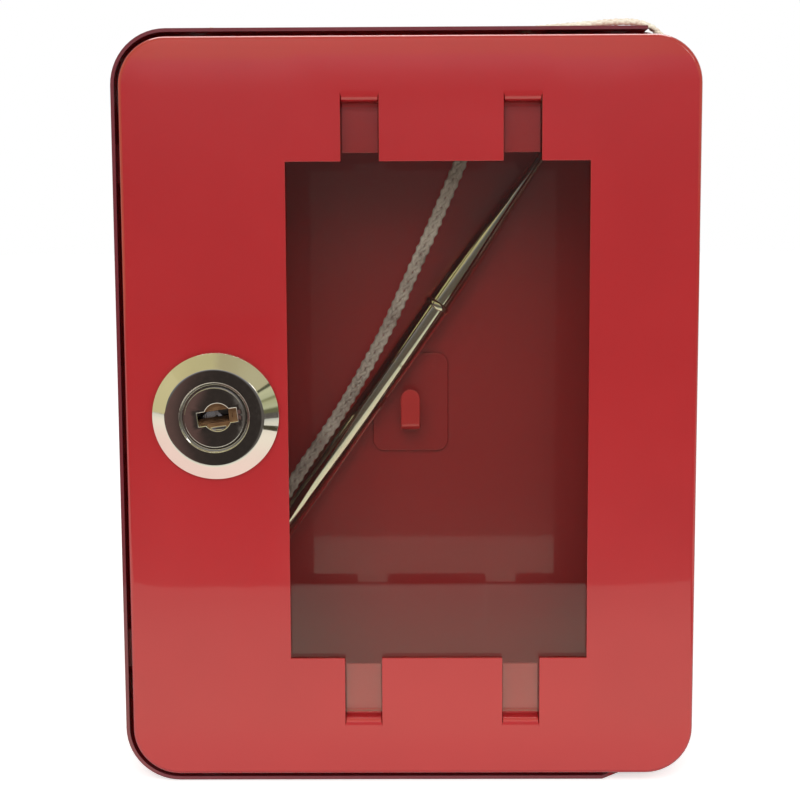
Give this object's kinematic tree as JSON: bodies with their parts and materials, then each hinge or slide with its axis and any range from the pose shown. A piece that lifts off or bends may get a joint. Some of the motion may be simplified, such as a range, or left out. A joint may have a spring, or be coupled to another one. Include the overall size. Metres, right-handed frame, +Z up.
{
  "type": "break glass key box",
  "caption": "Flat red steel wall box for a spare key, with a hinged glazed door, a cam lock, a key hook and a small hammer on a cord.",
  "frame": {"origin": "centre of the case's back face, which goes against the wall", "axes": "+X to the right seen from the front, +Y into the wall, +Z up"},
  "size_m": [0.116, 0.043, 0.1558],
  "materials": {
    "red_enamel": "smooth glossy red enamel on sheet steel",
    "clear_glass": "clear flat glass",
    "bright_chrome": "polished chrome plating",
    "zinc_steel": "plain zinc-plated steel",
    "wafer_brass": "plain brass",
    "braided_cord": "off-white flat cotton braid"
  },
  "bodies": {
    "case": {"case_band": "red_enamel", "back_panel": "red_enamel", "key_hook": "red_enamel", "hinge_bracket_upper": "red_enamel", "hinge_bracket_lower": "red_enamel", "lock_keeper": "red_enamel", "door_stops": "red_enamel", "hammer_handle": "bright_chrome", "hammer_head": "bright_chrome", "lanyard_ring": "zinc_steel", "cord": "braided_cord", "ring_knot": "braided_cord", "end_knot": "braided_cord"},
    "door": {"door_panel": "red_enamel", "glass_pane": "clear_glass", "hinge_ear_upper": "red_enamel", "hinge_ear_lower": "red_enamel", "hinge_pin_upper": "zinc_steel", "hinge_pin_lower": "zinc_steel", "hinge_washers": "zinc_steel", "lock_housing": "bright_chrome", "lock_washer": "zinc_steel", "lock_nut": "zinc_steel"},
    "lock": {"lock_plug": "bright_chrome", "lock_wafers": "wafer_brass", "wafer_springs": "zinc_steel", "lock_cam": "zinc_steel", "cam_spring_washer": "zinc_steel", "cam_screw": "zinc_steel"}
  },
  "joints": [
    {"name": "door_hinge", "type": "hinge", "parent": "case", "child": "door", "pos_m": [0.055, -0.037, 0], "axis": [0, 0, 1], "range_deg": [0, 110]},
    {"name": "lock_turn", "type": "hinge", "parent": "door", "child": "lock", "pos_m": [-0.0382, -0.04, -0.0002], "axis": [0, 1, 0], "range_deg": [0, 90]}
  ]
}
